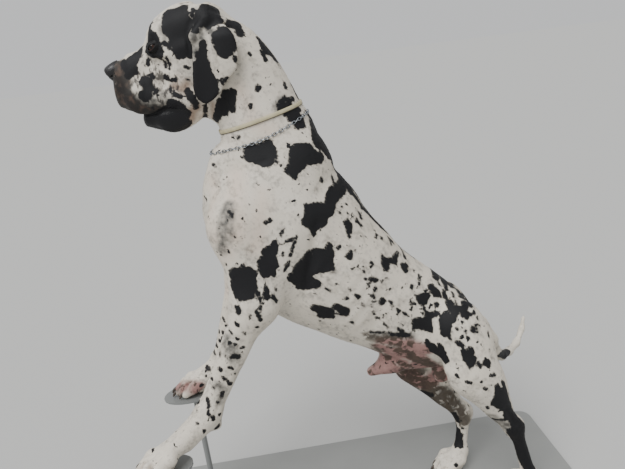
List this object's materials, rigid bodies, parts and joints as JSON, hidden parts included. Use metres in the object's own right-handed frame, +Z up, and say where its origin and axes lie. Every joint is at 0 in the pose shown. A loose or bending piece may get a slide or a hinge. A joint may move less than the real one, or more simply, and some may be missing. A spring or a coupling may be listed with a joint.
{
  "type": "great dane",
  "caption": "Still life-size great dane on a plain stand, hind feet on the base and forefeet raised on two rods, wearing a flat strap and a chain.",
  "frame": {"origin": "middle of the stand's underside", "axes": "+Z up, -X ahead of the dog's nose, -Y on the dog's left side"},
  "size_m": [1.32, 0.609, 1.5577],
  "materials": {
    "coat": "short flat fur, white with torn black patches",
    "dark_coat": "short black fur with a low sheen",
    "lip": "dark wet lip skin and short fur",
    "nose": "pebbled, moist nose leather",
    "eye": "polished, dark brown",
    "claw": "worn horn",
    "strap": "thin cream strap with a darker edge",
    "chain": "polished steel links",
    "stand_base": "board painted satin grey",
    "stand_rod": "steel painted satin grey"
  },
  "bodies": {
    "root": {"chest": "coat", "claw_fore_left_1": "claw", "claw_fore_left_2": "claw", "claw_fore_left_3": "claw", "claw_fore_left_4": "claw", "claw_fore_right_1": "claw", "claw_fore_right_2": "claw", "claw_fore_right_3": "claw", "claw_fore_right_4": "claw", "claw_hind_left_1": "claw", "claw_hind_left_2": "claw", "claw_hind_left_3": "claw", "claw_hind_left_4": "claw", "claw_hind_right_1": "claw", "claw_hind_right_2": "claw", "claw_hind_right_3": "claw", "claw_hind_right_4": "claw", "collar_chain": "chain", "collar_strap": "strap", "ear_left": "dark_coat", "ear_right": "dark_coat", "eye_left": "eye", "eye_right": "eye", "foreleg_left": "coat", "foreleg_right": "coat", "forepaw_left": "coat", "forepaw_right": "coat", "head": "coat", "hindleg_left": "coat", "hindleg_right": "coat", "hindpaw_left": "coat", "hindpaw_right": "coat", "loin": "coat", "lower_jaw": "lip", "neck": "coat", "nose": "nose", "stand_base": "stand_base", "stand_rod_left": "stand_rod", "stand_rod_right": "stand_rod", "tail": "coat"}
  },
  "joints": []
}
